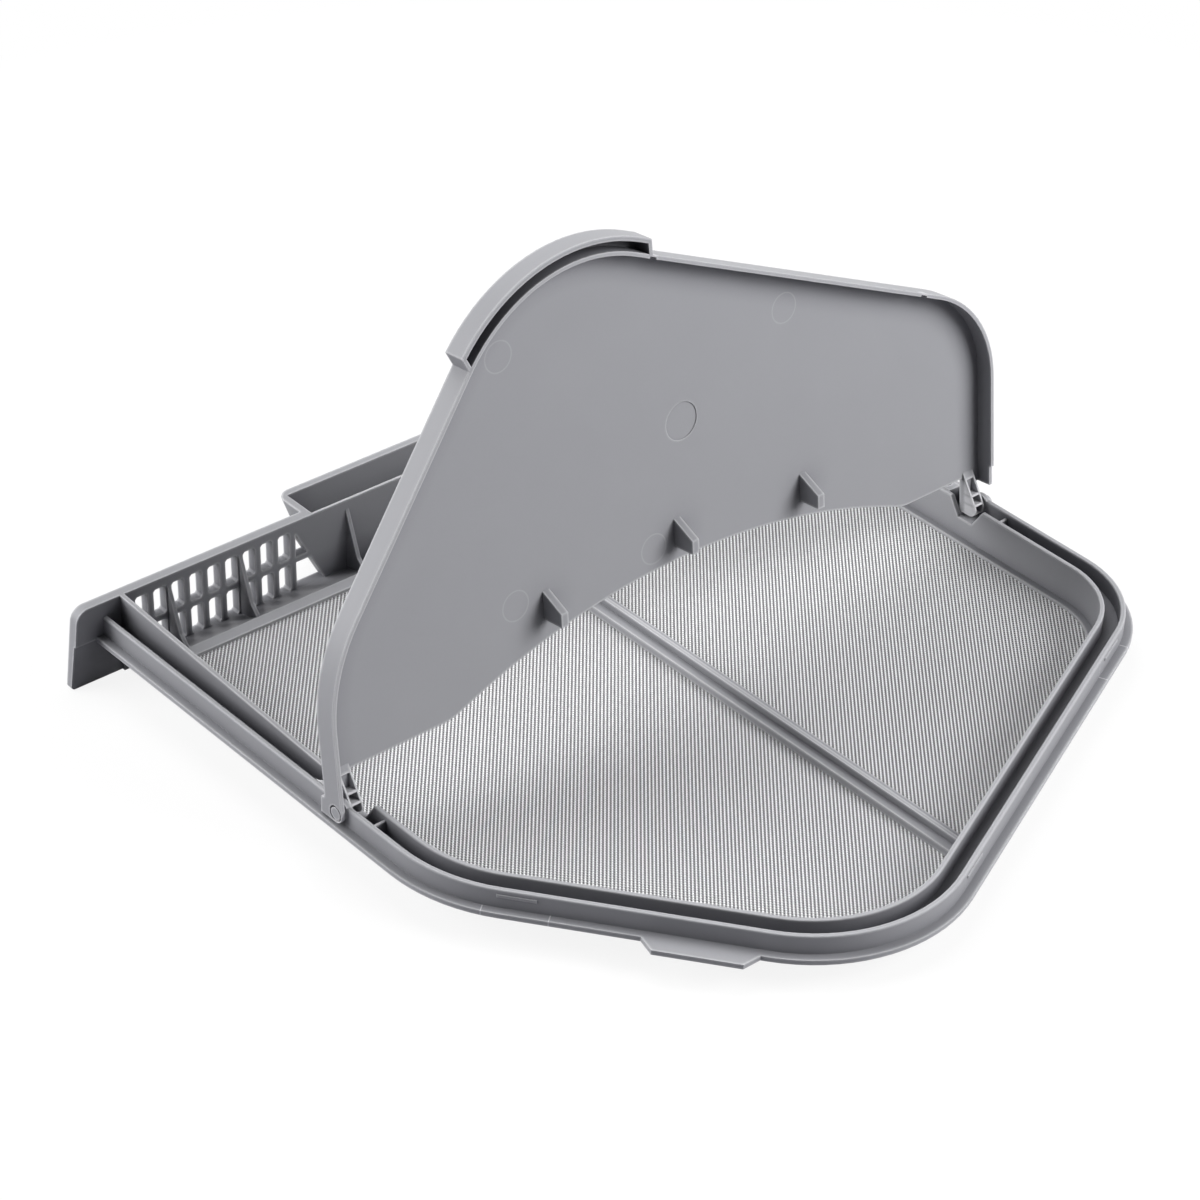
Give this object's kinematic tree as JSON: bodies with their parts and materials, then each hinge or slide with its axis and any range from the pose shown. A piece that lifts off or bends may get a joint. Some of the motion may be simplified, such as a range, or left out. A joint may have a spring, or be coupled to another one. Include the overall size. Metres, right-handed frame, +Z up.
{
  "type": "tumble dryer lint filter",
  "caption": "Grey moulded lint filter tray with a woven cloth bottom, a slotted front wall with a pocket handle and a hinged flanged lid standing open.",
  "frame": {"origin": "middle of the filter's bounding box in plan, at the level of the foot of the front wall", "axes": "+X across the width, +Y from the rounded end to the front wall and its handle, +Z up out of the open tray"},
  "size_m": [0.2732, 0.2634, 0.1561],
  "materials": {
    "grey_plastic": "satin moulded",
    "filter_cloth": "plain weave of fine monofilament"
  },
  "bodies": {
    "tray": {"frame": "grey_plastic", "mesh": "filter_cloth"},
    "cover": {"lid": "grey_plastic"}
  },
  "joints": [
    {"name": "lid_hinge", "type": "hinge", "parent": "tray", "child": "cover", "pos_m": [0, 0.00298, 0.0189], "axis": [1, 0, 0], "range_deg": [0, 97.5]}
  ]
}
